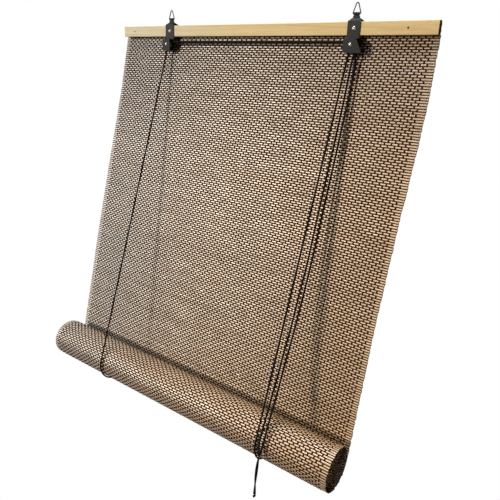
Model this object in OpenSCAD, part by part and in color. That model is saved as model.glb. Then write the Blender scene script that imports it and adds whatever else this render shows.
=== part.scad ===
// Bamboo roll-up blind: a wooden headrail hung by two rings, a woven slat mat, its roll and the cords that lift it.
// Millimetres. +X runs along the headrail, -Y is the front, +Z is up, and the origin lies midway between
// the two places where wall hooks bear inside the rings.

/* [Headrail] */
// Length of the wooden headrail
rail_len = 600; // [450:1:1200]
// Height of the headrail
rail_h = 18; // [16:0.5:24]
// Depth of the headrail, front to back
rail_d = 10; // [9:0.5:16]
// Rounding along the headrail's four long edges
rail_edge_r = 0.8; // [0.3:0.1:2]
// Forward tip of the headrail in degrees, because the cords load its front
rail_tilt = 15; // [6:1:16]

/* [Nails] */
// Distance from the headrail's left end to its nail
nail_inset_left = 28; // [15:1:60]
// Distance from the headrail's right end to its nail
nail_inset_right = 41; // [15:1:60]
// Radius of a nail's shank
nail_r = 0.7; // [0.5:0.1:1.2]
// Radius of a nail's head
nail_head_r = 1.3; // [1.2:0.1:2.5]
// Thickness of a nail's head, sunk flush in the wood
nail_head_t = 0.6; // [0.4:0.1:1.2]

/* [Mat] */
// Width of the woven mat
mat_w = 604; // [450:1:1200]
// Distance from one slat to the next
slat_pitch = 3.73; // [3.2:0.01:5]
// Height of one slat where it meets the weave
slat_h = 2.9; // [2:0.1:3]
// Height of the flat crown of one slat
crown_h = 1.7; // [1:0.1:1.9]
// Thickness of the mat over its slats
mat_t = 2.6; // [2:0.1:3]
// Thickness of the mat between its slats
weave_t = 1; // [0.6:0.1:1.6]
// Number of slats fixed behind the headrail
rail_slats = 4; // [2:1:4]
// Number of slats that hang between the headrail and the roll
hang_slats = 162; // [60:1:240]

/* [Roll] */
// Radius of the wooden rod that the mat is rolled on
rod_r = 7; // [5:0.5:10]
// How far the rod stands out of the roll at each end
rod_reach = 0.5; // [0.2:0.1:2]
// Distance from one turn of the roll to the next
turn_pitch = 3.4; // [3.2:0.1:4.5]
// Number of turns on the roll
turns = 7.5; // [3:0.5:9]

/* [Hangers] */
// Distance of each hanger from the middle of the headrail
hanger_x = 180; // [140:1:250]
// Width of a hanger's folded strip
strap_w = 20; // [18:0.5:26]
// Thickness of a hanger's folded strip
strap_t = 1; // [0.8:0.1:1.4]
// Width of the strip where it is drawn in to a neck
neck_w = 10; // [9:0.5:12]
// Width of the eye that holds the ring
eye_w = 8; // [6:0.5:8]
// Rise of the strip's shoulders above the headrail
shoulder_rise = 0.9; // [0.8:0.1:2]
// Rise of the neck's foot above the headrail
neck_rise = 5.6; // [5:0.1:8]
// Rise of the eye's middle above the headrail
eye_rise = 10.6; // [10:0.1:13]
// Length of the front leg below the headrail, which backs the pulley
plate_drop = 24; // [22:0.5:28]
// Length of the back leg below the headrail
back_drop = 4; // [3:0.5:6]

/* [Screws] */
// Radius of a hanger screw's shank
screw_r = 1.5; // [1:0.1:2]
// Radius of a hanger screw's head
screw_head_r = 3.2; // [2.5:0.1:4]
// Height of a hanger screw's domed head
screw_head_h = 1.6; // [1:0.1:2.4]
// Length of a hanger screw below its head
screw_len = 8; // [6:0.5:9]

/* [Rings] */
// Radius of the ring wire
wire_r = 0.9; // [0.7:0.1:1]
// Half the width of a ring at its foot, to the middle of the wire
ring_half = 5.9; // [5.9:0.1:8]
// Height of a ring from its base to its top, to the middle of the wire
ring_rise = 14.5; // [13:0.5:20]
// Bend radius at the top of a ring, to the middle of the wire
ring_bend = 2; // [1.5:0.1:3]
// Bend radius at a ring's two lower corners, to the middle of the wire
ring_corner = 1.2; // [1:0.1:1.3]

/* [Pulleys] */
// Space between a hanger's front leg and its cover plate
cover_gap = 9; // [8.6:0.1:11]
// Width of the left pulley's cover plate
cover_w = 17.5; // [15:0.5:20]
// Thickness of a cover plate
cover_t = 1; // [0.8:0.1:1.4]
// Drop from the headrail to the top of a cover
cover_drop = 4.5; // [3:0.5:6]
// Drop from the headrail to a pulley's axle
axle_drop = 13; // [12:0.5:15]
// Radius of a pulley's axle rivet
axle_r = 1.2; // [1:0.1:1.4]
// Radius of an axle rivet's heads
axle_head_r = 2.6; // [2:0.1:3]
// Height of an axle rivet's domed front head
axle_head_h = 1.3; // [0.8:0.1:1.8]
// Thickness of an axle rivet's rear head
axle_tail_h = 0.8; // [0.5:0.1:1.2]
// Outer radius of a pulley wheel
wheel_r = 5.2; // [4.8:0.1:5.8]
// Radius on the wheel at which the middle of the cord runs
wheel_cord_r = 3.5; // [3.3:0.1:3.8]

/* [Cord lock] */
// Shift of the lock's wheel from the middle of its hanger
lock_wheel_x = 1.2; // [0:0.1:2]
// How far the lock's plates flare out to the right at the bottom
lock_flare = 9.5; // [8:0.5:14]
// Distance from the lock wheel's axle to the cam's pin, sideways
cam_pin_dx = 11.3; // [11:0.1:12.5]
// Distance from the lock wheel's axle down to the cam's pin
cam_pin_drop = 5.5; // [4.5:0.5:6]
// Radius of the cam at the upper end of its teeth
cam_r_small = 3.4; // [3.2:0.1:3.6]
// Radius of the cam at the lower end of its teeth
cam_r_large = 5.1; // [4.2:0.1:5.1]
// Number of teeth on the cam
cam_teeth = 9; // [5:1:12]
// Depth of a cam tooth
tooth_depth = 0.6; // [0.3:0.1:0.8]

/* [Cords] */
// Diameter of every cord
cord_d = 2.4; // [1.8:0.1:2.6]
// Place of the left lift cord's loop along the roll
loop_x_left = -161; // [-250:1:-140]
// Place of the right lift cord's loop along the roll
loop_x_right = 186; // [140:1:188]
// Distance of the pull cords' join from the lock, sideways
join_dx = 16.6; // [12:0.1:20]
// Drop of the pull cords' join below the middle of the roll
join_drop = 11.5; // [8:0.5:20]
// Stand-off of the pull cords' join from the roll's front
join_reach = 2.5; // [2.5:0.1:6]
// Thickness of the tail, in which the two pull cords lie twisted together
tail_d = 4.2; // [3.6:0.1:4.8]
// Length of the tail below the join
tail_len = 58; // [40:1:200]
// Sideways swing of the tail's end
tail_sway = 5; // [0:0.5:12]
// Half the distance between the two pull cords where they hang
pull_spread = 3.3; // [2.8:0.1:3.6]
// Radius of the knot that joins the two pull cords
join_knot_r = 3.2; // [2.8:0.1:4]
// Radius of the knot at the end of the tail
end_knot_r = 2.7; // [2.5:0.1:3.2]
// Radius of the knots that tie the lift cords behind the headrail
tie_knot_r = 2.4; // [2:0.1:2.8]

/* [Fits] */
// Radial clearance of a wheel or cam on its pin
running_fit = 0.05; // [0.02:0.01:0.1]
// Radial clearance of a rivet, nail or screw in its hole
fixed_fit = 0.02; // [0.01:0.01:0.05]
// Clearance between parts that move past each other
clear = 0.3; // [0.2:0.05:0.5]
// Side clearance of a wheel or cam between its plates
side_gap = 0.4; // [0.2:0.05:0.6]
// Gap between the end of one length of cord and the next
cord_gap = 0.1; // [0.05:0.05:0.2]

/* [Hidden] */
$fn = 48;

// How far a cut runs past the face that it opens
overrun = 1;
cord_r = cord_d / 2;

// Headrail frame: the middle of the wooden batten is its origin, and it is tipped forward about X.
rail_top = rail_h / 2;
rail_front = -rail_d / 2;
rail_back = rail_d / 2;
eye_z = rail_top + eye_rise;
hook_z = eye_z + ring_rise - wire_r;
rail_origin = [0, hook_z * sin(rail_tilt), -hook_z * cos(rail_tilt)];

// A point of the headrail frame, in the blind's own frame
function to_world(p) = rail_origin + [
    p[0],
    p[1] * cos(rail_tilt) - p[2] * sin(rail_tilt),
    p[1] * sin(rail_tilt) + p[2] * cos(rail_tilt)
];

// Mat: its middle plane turns from the headrail's back face to the vertical at the headrail's lower edge.
mat_bend = to_world([0, rail_back + mat_t / 2, -rail_top]);
mat_back_y = mat_bend[1] + mat_t / 2;
hang_len = hang_slats * slat_pitch;
mat_foot_z = mat_bend[2] - hang_len;

// Roll: its outer turn is the end of the hanging mat, so the mat's back face is tangent to it.
roll_r = rod_r + clear + turns * turn_pitch + mat_t;
roll_y = mat_back_y - roll_r;
roll_z = mat_foot_z - clear;
first_mid_r = roll_r - mat_t / 2;
last_mid_r = first_mid_r - turns * turn_pitch;
rolled_len = PI * (first_mid_r * first_mid_r - last_mid_r * last_mid_r) / turn_pitch;
roll_slats = floor(rolled_len / slat_pitch);

// Hangers and pulleys, in the headrail frame
strap_front = rail_front - strap_t;
plate_foot = -rail_top - plate_drop;
shoulder_z = rail_top + shoulder_rise;
neck_z = rail_top + neck_rise;
back_leg_front = rail_back + mat_t;
eye_inner_r = wire_r + clear;
eye_outer_r = eye_inner_r + strap_t;
neck_top = eye_z - eye_outer_r - clear;
eye_inset = eye_w / 2 - clear;
axle_z = -rail_top - axle_drop;
cover_inner = strap_front - cover_gap;
cover_front = cover_inner - cover_t;
cover_top = -rail_top - cover_drop;
wheel_w = cover_gap - side_gap - side_gap;
wheel_y = strap_front - cover_gap / 2;
groove_r = cord_r + clear;
groove_dy = wheel_w / 2 - groove_r - side_gap;
rear_groove_y = wheel_y + groove_dy;
front_groove_y = wheel_y - groove_dy;
wheel_bore_r = axle_r + running_fit;
flange_round = (wheel_r - wheel_cord_r) / 4;

// Cord lock, in the headrail frame
lock_x = hanger_x + lock_wheel_x;
cam_x = lock_x + cam_pin_dx;
cam_z = axle_z - cam_pin_drop;
cam_start = 125;
cam_span = 115;
cam_hub_r = cam_r_small - tooth_depth;
cam_arm_w = cam_hub_r;
cam_arm_len = cam_r_large - tooth_depth;
exit_z = plate_foot - cord_r;
outer_exit_x = lock_x + wheel_cord_r + cord_d + cord_r;

// Lift cords
loop_r = roll_r + clear + cord_r;
tie_z = cord_r - rail_top;
tie_y = back_leg_front + strap_t + tie_knot_r + cord_gap;

// Pull cords: from the lock they hang behind a straight line, then swing out over the roll's front.
inner_exit_x = lock_x + wheel_cord_r;
exit_mid = to_world([0, wheel_y, exit_z]);
pull_front_y = roll_y - roll_r - clear - cord_r;
join_at = [lock_x + join_dx, pull_front_y - join_reach, roll_z - join_drop];
// Each row of the route: share of the drop to the roll's middle, share of the way forward to the roll's front,
// share of the way sideways to the join
pull_shares = [
    [0.03, -0.05, 0.35], [0.11, -0.03, 0.4], [0.24, 0.04, 0.43], [0.32, 0.08, 0.43], [0.405, 0.12, 0.44],
    [0.515, 0.185, 0.49], [0.595, 0.265, 0.5], [0.705, 0.38, 0.51], [0.785, 0.525, 0.56], [0.87, 0.705, 0.68],
    [0.915, 0.835, 0.78], [0.957, 0.95, 0.87], [0.993, 1.03, 0.96]
];
// Each row of the tail's route: share of its length, share of its sideways swing
tail_shares = [[0.15, 0.02], [0.3, 0.08], [0.5, 0.25], [0.7, 0.5], [0.85, 0.75], [1, 1]];
end_at = join_at + [tail_sway, 0, -join_knot_r - tail_len - end_knot_r];
cord_sides = 8;
route_steps = 3;
arc_steps = 8;

// A unit vector along v
function unit(v) = v / norm(v);

// Direction of a path at its point i
function heading(path, i) = unit(path[min(i + 1, len(path) - 1)] - path[max(i - 1, 0)]);

// A ring of points round point p, square to direction t
function tube_ring(p, t, r) =
    let (u = unit(cross([0, 1, 0], t)), v = cross(t, u))
    [for (k = [0:cord_sides - 1]) p + r * (cos(360 * k / cord_sides) * u + sin(360 * k / cord_sides) * v)];

// A smooth curve through all the points of a route
function spline_point(a, b, c, d, t) =
    (2 * b + (c - a) * t + (2 * a - 5 * b + 4 * c - d) * t * t + (3 * b - a - 3 * c + d) * t * t * t) / 2;
function smooth(path) = concat(
    [
        for (i = [0:len(path) - 2]) for (j = [0:route_steps - 1])
            spline_point(
                path[max(i - 1, 0)], path[i], path[i + 1], path[min(i + 2, len(path) - 1)], j / route_steps
            )
    ],
    [path[len(path) - 1]]
);

// A pull cord's route from the lock to the join; side is -1 for the inner cord and 1 for the outer
function pull_route(side, leave, way) = concat(
    [leave + cord_gap * way, leave + 2 * cord_d * way],
    [
        for (p = pull_shares) [
            lock_x + p[2] * join_dx + side * pull_spread,
            exit_mid[1] + p[1] * (pull_front_y - exit_mid[1]),
            exit_mid[2] + p[0] * (roll_z - exit_mid[2])
        ]
    ],
    [join_at + [side * (cord_r + cord_gap), 0, join_knot_r + cord_gap]]
);
// The tail's route from the join down to its end knot
function tail_route() = concat(
    [join_at - [0, 0, join_knot_r + cord_gap]],
    [for (p = tail_shares) join_at + [p[1] * tail_sway, 0, cord_gap - join_knot_r - p[0] * tail_len]]
);

// Points on a wheel's cord circle in the headrail frame, over the top from the left to the right
function over_wheel(x, y, from, to) = [
    for (i = [0:arc_steps])
        let (a = from + (to - from) * i / arc_steps)
        [x + wheel_cord_r * cos(a), y, axle_z + wheel_cord_r * sin(a)]
];

// Where a lift cord is clear of its wheel's flanges, and where it meets its loop on the roll's front
function lift_top(x) = to_world([x - wheel_cord_r, rear_groove_y, axle_z - wheel_r - cord_r]);
function front_angle(top) =
    let (dy = top[1] - roll_y, dz = top[2] - roll_z)
    atan2(dz, dy) + acos(loop_r / norm([dy, dz]));
function front_touch(top, x) = [
    x,
    roll_y + loop_r * cos(front_angle(top)),
    roll_z + loop_r * sin(front_angle(top))
];
// A short way down the lift cord, where the length round the wheel ends
function lift_start(top, touch) = top + cord_d * unit(touch - top);

// A round cord or wire along a list of points
module tube(path, r) {
    last = len(path) - 1;
    rings = [for (i = [0:last]) each tube_ring(path[i], heading(path, i), r)];
    sides = [
        for (i = [0:last - 1]) for (k = [0:cord_sides - 1])
            let (a = i * cord_sides + k, b = i * cord_sides + (k + 1) % cord_sides)
            each [[a, b, b + cord_sides], [a, b + cord_sides, a + cord_sides]]
    ];
    first_cap = [for (k = [cord_sides - 1:-1:0]) k];
    last_cap = [for (k = [0:cord_sides - 1]) last * cord_sides + k];
    polyhedron(points = rings, faces = concat([first_cap], sides, [last_cap]), convexity = 4);
}

// A straight round bar from p to q
module bar(p, q, r) {
    d = q - p;
    translate(p)
        rotate([0, acos(d[2] / norm(d)), atan2(d[1], d[0])])
            cylinder(h = norm(d), r = r);
}

// Places its children in the headrail frame
module on_rail() {
    translate(rail_origin) rotate([rail_tilt, 0, 0]) children();
}

// Turns an outline drawn in Y and Z into a solid along X, about the middle
module along_x(length) {
    rotate([90, 0, 90]) linear_extrude(height = length, center = true) children();
}

// Turns an outline drawn in X and Z into a solid along Y, from the front face backwards
module along_y(front, depth) {
    translate([0, front + depth, 0]) rotate([90, 0, 0]) linear_extrude(height = depth) children();
}

// A round bar along Y from its front end backwards
module bar_y(x, front, z, r, depth) {
    translate([x, front + depth, z]) rotate([90, 0, 0]) cylinder(h = depth, r = r);
}

// A domed head on a front face, as a cap of a sphere
module dome(x, face, z, r, h) {
    ball_r = (r * r + h * h) / (2 * h);
    translate([x, face, z])
        rotate([90, 0, 0])
            intersection() {
                translate([0, 0, h - ball_r]) sphere(r = ball_r);
                cylinder(h = h, r = r);
            }
}

module headrail_batten() {
    color("burlywood")
        on_rail()
            difference() {
                along_x(rail_len) {
                    square([rail_d - 2 * rail_edge_r, rail_h], center = true);
                    square([rail_d, rail_h - 2 * rail_edge_r], center = true);
                    for (sy = [-1, 1]) for (sz = [-1, 1])
                        translate([sy * (rail_d / 2 - rail_edge_r), sz * (rail_h / 2 - rail_edge_r)])
                            circle(r = rail_edge_r);
                }
                for (x = nail_places()) {
                    bar_y(x, rail_front - overrun, 0, nail_r + fixed_fit, rail_d + 2 * overrun);
                    bar_y(x, rail_front - overrun, 0, nail_head_r + fixed_fit, nail_head_t + overrun);
                }
                for (x = [-hanger_x, hanger_x])
                    bar_y(x, rail_front - overrun, 0, screw_r + fixed_fit, screw_len - strap_t + overrun + clear);
            }
}

// Where the two nails stand along the headrail
function nail_places() = [nail_inset_left - rail_len / 2, rail_len / 2 - nail_inset_right];

module rail_nails() {
    color("dimgray")
        on_rail()
            for (x = nail_places()) {
                bar_y(x, rail_front, 0, nail_head_r, nail_head_t);
                bar_y(x, rail_front, 0, nail_r, rail_d + mat_t);
            }
}

// Middle line of a hanger's strip, from the front leg's foot to the eye, and from the back leg's foot to the eye
front_line = [
    [strap_front + strap_t / 2, plate_foot], [strap_front + strap_t / 2, shoulder_z], [-strap_t / 2, neck_z],
    [-strap_t / 2, eye_z - eye_inner_r - strap_t / 2]
];
back_line = [
    [back_leg_front + strap_t / 2, -rail_top - back_drop], [back_leg_front + strap_t / 2, shoulder_z],
    [strap_t / 2, neck_z], [strap_t / 2, eye_z - eye_inner_r - strap_t / 2]
];

// The side of a strip's middle line at its point i, mitred at the folds; side is 1 on the left of the way
function across(line, i) =
    let (d = unit(line[i + 1] - line[i]))
    [-d[1], d[0]];
function strip_edge(line, i, side) =
    let (a = across(line, max(i - 1, 0)), b = across(line, min(i, len(line) - 2)))
    line[i] + side * strap_t / 2 * (a + b) / (1 + a * b);

// Section of a hanger's strip below its eye: front leg, shoulders drawn in over the headrail, and back leg
module strap_section() {
    polygon(concat(
        [for (i = [0:3]) strip_edge(front_line, i, 1)],
        [for (i = [3:-1:0]) strip_edge(back_line, i, -1)],
        [for (i = [0:2]) strip_edge(back_line, i, 1)],
        [for (i = [2:-1:0]) strip_edge(front_line, i, -1)]
    ));
}

// Outline of a hanger seen from the front; flare widens its foot to the right
module strap_outline(flare) {
    polygon([
        [-strap_w / 2, plate_foot], [strap_w / 2 + flare, plate_foot], [strap_w / 2, cover_top],
        [strap_w / 2, shoulder_z], [neck_w / 2, neck_z], [neck_w / 2, neck_top], [eye_inset, neck_top],
        [eye_inset, eye_z], [-eye_inset, eye_z], [-eye_inset, neck_top], [-neck_w / 2, neck_top],
        [-neck_w / 2, neck_z], [-strap_w / 2, shoulder_z]
    ]);
}

// A hanger: one strip folded over the headrail, with its foot as the pulley's back plate
module hanger(x, flare, axle_x) {
    color("darkslategray")
        on_rail()
            translate([x, 0, 0])
                difference() {
                    union() {
                        intersection() {
                            along_x(2 * (strap_w + flare)) strap_section();
                            along_y(strap_front - overrun, strap_t + rail_d + mat_t + strap_t + 2 * overrun)
                                strap_outline(flare);
                        }
                        bar([-eye_w / 2, 0, eye_z], [eye_w / 2, 0, eye_z], eye_outer_r);
                    }
                    bar([-eye_w, 0, eye_z], [eye_w, 0, eye_z], eye_inner_r);
                    bar_y(0, strap_front - overrun, 0, screw_r + fixed_fit, strap_t + 2 * overrun);
                    bar_y(axle_x, strap_front - overrun, axle_z, axle_r + fixed_fit, strap_t + 2 * overrun);
                    bar_y(0, back_leg_front - overrun, tie_z, cord_r + fixed_fit, strap_t + 2 * overrun);
                    if (flare > 0)
                        bar_y(
                            cam_x - x, strap_front - overrun, cam_z, axle_r + fixed_fit, strap_t + 2 * overrun
                        );
                }
}

module hanger_left() {
    hanger(-hanger_x, 0, 0);
}

module hanger_right() {
    hanger(hanger_x, lock_flare, lock_wheel_x);
}

module hanger_screws() {
    color("silver")
        on_rail()
            for (x = [-hanger_x, hanger_x]) {
                dome(x, strap_front, 0, screw_head_r, screw_head_h);
                bar_y(x, strap_front, 0, screw_r, screw_len);
            }
}

// A ring bent from wire to a triangle with round corners, its straight base held in a hanger's eye
module ring(x) {
    foot_x = ring_half - ring_corner;
    top_z = ring_rise - ring_bend;
    rise = top_z - ring_corner;
    lean = atan2(rise, -foot_x) - acos((ring_corner - ring_bend) / norm([foot_x, rise]));
    out = [cos(lean), 0, sin(lean)];
    along = [-sin(lean), 0, cos(lean)];
    color("dimgray")
        on_rail()
            translate([x, 0, eye_z]) {
                bar([-foot_x, 0, 0], [foot_x, 0, 0], wire_r);
                for (s = [0, 1]) mirror([s, 0, 0]) {
                    bar(
                        [foot_x, 0, ring_corner] + ring_corner * out - clear * along,
                        [0, 0, top_z] + ring_bend * out + clear * along,
                        wire_r - running_fit
                    );
                    wire_bend(foot_x, ring_corner, ring_corner, -90, lean);
                }
                wire_bend(0, top_z, ring_bend, lean, 180 - lean);
            }
}

// A bend in the ring wire about a point in X and Z, from one angle to another
module wire_bend(x, z, r, from, to) {
    translate([x, 0, z])
        rotate([90, 0, 0])
            rotate([0, 0, from])
                rotate_extrude(angle = to - from)
                    translate([r, 0]) circle(r = wire_r);
}

module ring_left() {
    ring(-hanger_x);
}

module ring_right() {
    ring(hanger_x);
}

// A cover plate in front of a wheel, with a top web that bears on the hanger
module cover(x, axle_x, left, right, flare) {
    color("darkslategray")
        on_rail()
            translate([x, 0, 0])
                difference() {
                    union() {
                        along_y(cover_front, cover_t)
                            polygon([
                                [left, cover_top], [left, plate_foot], [right + flare, plate_foot],
                                [right, cover_top]
                            ]);
                        along_y(cover_front, cover_gap + cover_t)
                            translate([left, cover_top - cover_t]) square([right - left, cover_t]);
                    }
                    bar_y(axle_x, cover_front - overrun, axle_z, axle_r + fixed_fit, cover_t + 2 * overrun);
                }
}

module pulley_cover() {
    cover(-hanger_x, 0, -cover_w / 2, cover_w / 2, 0);
}

module lock_cover() {
    cover(hanger_x, lock_wheel_x, -strap_w / 2, strap_w / 2, lock_flare);
}

// A wheel on its axle, with one round groove for each cord that runs over it
module wheel(x, grooves) {
    color("gray")
        on_rail()
            translate([x, wheel_y - wheel_w / 2, axle_z])
                rotate([-90, 0, 0])
                    difference() {
                        rotate_extrude()
                            polygon([
                                [wheel_bore_r, 0], [wheel_r - flange_round, 0], [wheel_r, flange_round],
                                [wheel_r, wheel_w - flange_round], [wheel_r - flange_round, wheel_w],
                                [wheel_bore_r, wheel_w]
                            ]);
                        for (y = grooves)
                            translate([0, 0, y - wheel_y + wheel_w / 2]) groove();
                    }
}

// The round groove that a cord runs in, open to the wheel's rim
module groove() {
    rotate_extrude() {
        translate([wheel_cord_r, 0]) circle(r = groove_r);
        translate([wheel_cord_r, -groove_r]) square([wheel_r, 2 * groove_r]);
    }
}

module pulley_wheel() {
    wheel(-hanger_x, [rear_groove_y]);
}

module lock_wheel() {
    wheel(lock_x, [rear_groove_y, front_groove_y]);
}

// A rivet through a cover and the leg behind it
module rivet(x, z) {
    color("silver")
        on_rail() {
            dome(x, cover_front, z, axle_head_r, axle_head_h);
            bar_y(x, cover_front, z, axle_r, cover_t + cover_gap + strap_t);
            bar_y(x, rail_front, z, axle_head_r, axle_tail_h);
        }
}

module pulley_rivet() {
    rivet(-hanger_x, axle_z);
}

module lock_rivet() {
    rivet(lock_x, axle_z);
}

// The cam's pin stands in the hanger's leg and ends against the cover's inner face
module lock_pin() {
    color("silver")
        on_rail() {
            bar_y(cam_x, cover_inner, cam_z, axle_r, cover_gap + strap_t);
            bar_y(cam_x, rail_front, cam_z, axle_head_r, axle_tail_h);
        }
}

// The toothed cam that pinches the pull cords: its teeth grow from the upper end to the lower
module lock_cam() {
    steps = 2 * cam_teeth;
    color("gainsboro")
        on_rail()
            translate([cam_x, 0, cam_z])
                difference() {
                    along_y(wheel_y - wheel_w / 2, wheel_w) {
                        circle(r = cam_hub_r);
                        polygon(concat(
                            [[0, 0]],
                            [
                                for (i = [0:steps])
                                    let (
                                        a = cam_start + cam_span * i / steps,
                                        grow = cam_r_small + (cam_r_large - cam_r_small) * i / steps,
                                        r = grow - (i % 2) * tooth_depth
                                    )
                                    r * [cos(a), sin(a)]
                            ]
                        ));
                        rotate(-cam_start / 2)
                            translate([0, -cam_arm_w / 2]) square([cam_arm_len, cam_arm_w]);
                    }
                    bar_y(0, wheel_y - wheel_w, 0, axle_r + running_fit, 2 * wheel_w);
                }
}

// Outline of one face of slats along a straight stretch: depth is the stand-off from the middle plane
function slat_steps(count) = [
    for (i = [0:count - 1])
        let (foot = (slat_pitch - slat_h) / 2, crown = (slat_pitch - crown_h) / 2)
        each [
            [i * slat_pitch + foot, weave_t / 2], [i * slat_pitch + crown, mat_t / 2],
            [(i + 1) * slat_pitch - crown, mat_t / 2], [(i + 1) * slat_pitch - foot, weave_t / 2]
        ]
];
// A step on the stretch behind the headrail, counted up from the bend, and on the hanging stretch, counted down
function rail_step(s, side) = [
    mat_bend[1] - s[0] * sin(rail_tilt) + side * s[1] * cos(rail_tilt),
    mat_bend[2] + s[0] * cos(rail_tilt) + side * s[1] * sin(rail_tilt)
];
function hang_step(s, side) = [mat_bend[1] + side * s[1], mat_bend[2] - s[0]];
// The items of a list in the other order
function backwards(list) = [for (i = [len(list) - 1:-1:0]) list[i]];

module mat() {
    upper = slat_steps(rail_slats);
    lower = slat_steps(hang_slats);
    color("tan")
        difference() {
            along_x(mat_w)
                polygon(concat(
                    [for (s = backwards(upper)) rail_step(s, -1)],
                    [for (s = lower) hang_step(s, -1)],
                    [hang_step([hang_len, weave_t / 2], -1), hang_step([hang_len, weave_t / 2], 1)],
                    [for (s = backwards(lower)) hang_step(s, 1)],
                    [for (s = upper) rail_step(s, 1)]
                ));
            on_rail()
                for (x = nail_places())
                    bar_y(x, rail_back - overrun, 0, nail_r + fixed_fit, mat_t + 2 * overrun);
        }
}

// Angle round the roll, from the back and down, at a length s along the rolled mat
function roll_turn(s) =
    360 / turn_pitch * (first_mid_r - sqrt(first_mid_r * first_mid_r - turn_pitch * s / PI));
// A point of the roll's section at a length s, standing in from the outer face by depth
function roll_point(s, depth) =
    let (a = roll_turn(s), r = roll_r - turn_pitch * a / 360 - depth)
    [roll_y + r * cos(a), roll_z - r * sin(a)];

module roll() {
    sink = (mat_t - weave_t) / 2;
    color("tan")
        along_x(mat_w)
            polygon(concat(
                [for (s = slat_steps(roll_slats)) roll_point(s[0], mat_t / 2 - s[1])],
                [for (i = [roll_slats:-1:0]) roll_point(i * slat_pitch, mat_t - sink / 2)]
            ));
}

module bottom_rod() {
    color("burlywood")
        translate([-mat_w / 2 - rod_reach, roll_y, roll_z])
            rotate([0, 90, 0])
                cylinder(h = mat_w + 2 * rod_reach, r = rod_r);
}

// The straight front run of a lift cord, from its wheel to the roll's front
module lift_front(wheel_x, x) {
    top = lift_top(wheel_x);
    touch = front_touch(top, x);
    way = unit(touch - top);
    color("black") bar(lift_start(top, touch) + cord_gap * way, touch - cord_gap * way, cord_r);
}

// The loop of a lift cord under the roll, from the front run to the back
module lift_loop(wheel_x, x) {
    start = front_angle(lift_top(wheel_x));
    color("black")
        translate([x, roll_y, roll_z])
            rotate([90, 0, 90])
                rotate([0, 0, start])
                    rotate_extrude(angle = 360 - start)
                        translate([loop_r, 0]) circle(r = cord_r);
}

// The straight back run of a lift cord, behind the mat up to its knot
module lift_back(hanger_place, x) {
    knot = to_world([hanger_place, tie_y, tie_z]);
    foot = [x, roll_y + loop_r, roll_z];
    way = unit(foot - knot);
    color("black") bar(knot + (tie_knot_r + cord_gap) * way, foot - cord_gap * way, cord_r);
}

// The knot that ties a lift cord into the hole of a hanger's back leg
module tie_knot(x) {
    color("black")
        on_rail() {
            translate([x, tie_y, tie_z]) sphere(r = tie_knot_r);
            bar_y(x, back_leg_front, tie_z, cord_r, tie_y - back_leg_front);
        }
}

module lift_front_left() {
    lift_front(-hanger_x, loop_x_left);
}

module lift_front_right() {
    lift_front(lock_x, loop_x_right);
}

module lift_loop_left() {
    lift_loop(-hanger_x, loop_x_left);
}

module lift_loop_right() {
    lift_loop(lock_x, loop_x_right);
}

module lift_back_left() {
    lift_back(-hanger_x, loop_x_left);
}

module lift_back_right() {
    lift_back(hanger_x, loop_x_right);
}

module tie_knot_left() {
    tie_knot(-hanger_x);
}

module tie_knot_right() {
    tie_knot(hanger_x);
}

// The left lift cord round its wheel, along under the headrail, over the lock's wheel and out of the lock
module transfer_cord() {
    top = lift_top(-hanger_x);
    touch = front_touch(top, loop_x_left);
    held = concat(
        over_wheel(-hanger_x, rear_groove_y, 180, 90),
        over_wheel(lock_x, front_groove_y, 90, 0),
        [[outer_exit_x, front_groove_y, exit_z]]
    );
    color("black") tube(concat([lift_start(top, touch), top], [for (p = held) to_world(p)]), cord_r);
}

// The right lift cord over the lock's wheel and out of the lock
module lock_cord() {
    top = lift_top(lock_x);
    touch = front_touch(top, loop_x_right);
    held = concat(
        over_wheel(lock_x, rear_groove_y, 180, 0),
        [[inner_exit_x, rear_groove_y, exit_z]]
    );
    color("black") tube(concat([lift_start(top, touch), top], [for (p = held) to_world(p)]), cord_r);
}

module pull_cord_inner() {
    leave = to_world([inner_exit_x, rear_groove_y, exit_z]);
    above = to_world([inner_exit_x, rear_groove_y, axle_z]);
    color("black") tube(smooth(pull_route(-1, leave, unit(leave - above))), cord_r);
}

module pull_cord_outer() {
    leave = to_world([outer_exit_x, front_groove_y, exit_z]);
    above = to_world([inner_exit_x, front_groove_y, axle_z]);
    color("black") tube(smooth(pull_route(1, leave, unit(leave - above))), cord_r);
}

module join_knot() {
    color("black") translate(join_at) sphere(r = join_knot_r);
}

module pull_tail() {
    color("black") tube(smooth(tail_route()), tail_d / 2);
}

module end_knot() {
    color("black") translate(end_at) sphere(r = end_knot_r);
}

headrail_batten();
rail_nails();
hanger_left();
hanger_right();
hanger_screws();
ring_left();
ring_right();
pulley_cover();
pulley_wheel();
pulley_rivet();
lock_cover();
lock_wheel();
lock_rivet();
lock_cam();
lock_pin();
mat();
roll();
bottom_rod();
lift_front_left();
lift_back_left();
lift_loop_left();
lift_front_right();
lift_back_right();
lift_loop_right();
tie_knot_left();
tie_knot_right();
transfer_cord();
lock_cord();
pull_cord_inner();
pull_cord_outer();
join_knot();
pull_tail();
end_knot();
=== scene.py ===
"""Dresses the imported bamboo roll-up blind: woven mat, roll, cords, hardware, light and camera."""

from __future__ import annotations

import logging
import math
from dataclasses import dataclass, field, replace
from enum import Enum
from typing import Sequence

import bmesh
import bpy
import numpy as np
from mathutils import Matrix, Vector


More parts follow.
